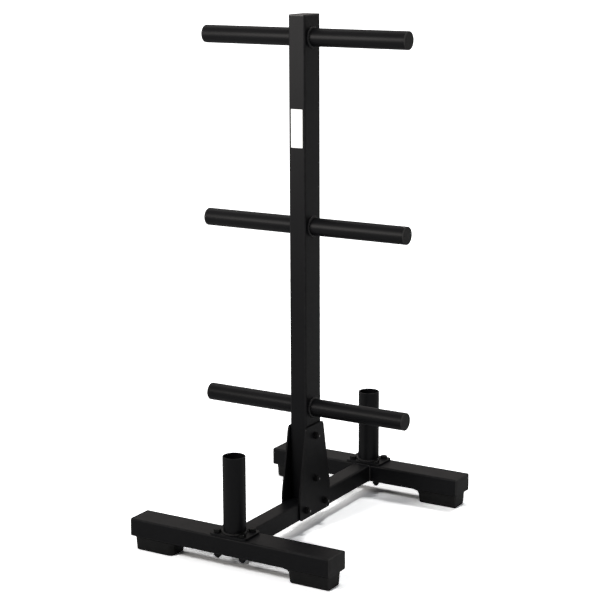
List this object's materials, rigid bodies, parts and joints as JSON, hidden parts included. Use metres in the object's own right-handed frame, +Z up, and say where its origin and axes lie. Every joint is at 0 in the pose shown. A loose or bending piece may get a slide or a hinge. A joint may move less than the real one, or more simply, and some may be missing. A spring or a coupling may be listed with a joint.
{
  "type": "plate tree",
  "caption": "Free-standing weight plate rack: an upright with round pegs on both sides, on two cross feet with open tubes that hold barbells upright.",
  "frame": {"origin": "on the floor, midway between the two cross feet, under the middle of the upright", "axes": "+Z up along the upright, +Y along the spine from the front cross foot to the rear one, +X along the right-hand pegs"},
  "size_m": [0.62, 0.8, 1.403],
  "materials": {
    "painted_steel": "satin black powder coat with a fine texture",
    "moulded_plastic": "dark grey moulded plastic with a fine matte grain",
    "moulded_rubber": "black moulded rubber, matte",
    "blackened_steel": "black oxide on steel, slightly glossy"
  },
  "bodies": {
    "root": {"bar_holder_front": "painted_steel", "bar_holder_rear": "painted_steel", "cross_foot_front": "painted_steel", "cross_foot_rear": "painted_steel", "foot_cap_front_left": "moulded_plastic", "foot_cap_front_right": "moulded_plastic", "foot_cap_rear_left": "moulded_plastic", "foot_cap_rear_right": "moulded_plastic", "foot_pad_front_left": "moulded_rubber", "foot_pad_front_right": "moulded_rubber", "foot_pad_rear_left": "moulded_rubber", "foot_pad_rear_right": "moulded_rubber", "gusset_bolt_spine_front": "blackened_steel", "gusset_bolt_spine_rear": "blackened_steel", "gusset_bolt_upright_lower": "blackened_steel", "gusset_bolt_upright_upper": "blackened_steel", "gusset_left": "painted_steel", "gusset_nut_spine_front": "blackened_steel", "gusset_nut_spine_rear": "blackened_steel", "gusset_nut_upright_lower": "blackened_steel", "gusset_nut_upright_upper": "blackened_steel", "gusset_right": "painted_steel", "holder_bolt_front_front_left": "blackened_steel", "holder_bolt_front_front_right": "blackened_steel", "holder_bolt_front_rear_left": "blackened_steel", "holder_bolt_front_rear_right": "blackened_steel", "holder_bolt_rear_front_left": "blackened_steel", "holder_bolt_rear_front_right": "blackened_steel", "holder_bolt_rear_rear_left": "blackened_steel", "holder_bolt_rear_rear_right": "blackened_steel", "holder_flange_front": "painted_steel", "holder_flange_rear": "painted_steel", "holder_nut_front_front_left": "blackened_steel", "holder_nut_front_front_right": "blackened_steel", "holder_nut_front_rear_left": "blackened_steel", "holder_nut_front_rear_right": "blackened_steel", "holder_nut_rear_front_left": "blackened_steel", "holder_nut_rear_front_right": "blackened_steel", "holder_nut_rear_rear_left": "blackened_steel", "holder_nut_rear_rear_right": "blackened_steel", "pad_screw_front_left": "blackened_steel", "pad_screw_front_right": "blackened_steel", "pad_screw_rear_left": "blackened_steel", "pad_screw_rear_right": "blackened_steel", "peg_cap_left_bottom": "moulded_plastic", "peg_cap_left_middle": "moulded_plastic", "peg_cap_left_top": "moulded_plastic", "peg_cap_right_bottom": "moulded_plastic", "peg_cap_right_middle": "moulded_plastic", "peg_cap_right_top": "moulded_plastic", "peg_left_bottom": "painted_steel", "peg_left_middle": "painted_steel", "peg_left_top": "painted_steel", "peg_right_bottom": "painted_steel", "peg_right_middle": "painted_steel", "peg_right_top": "painted_steel", "spine": "painted_steel", "upright": "painted_steel", "upright_cap": "moulded_plastic"}
  },
  "joints": []
}
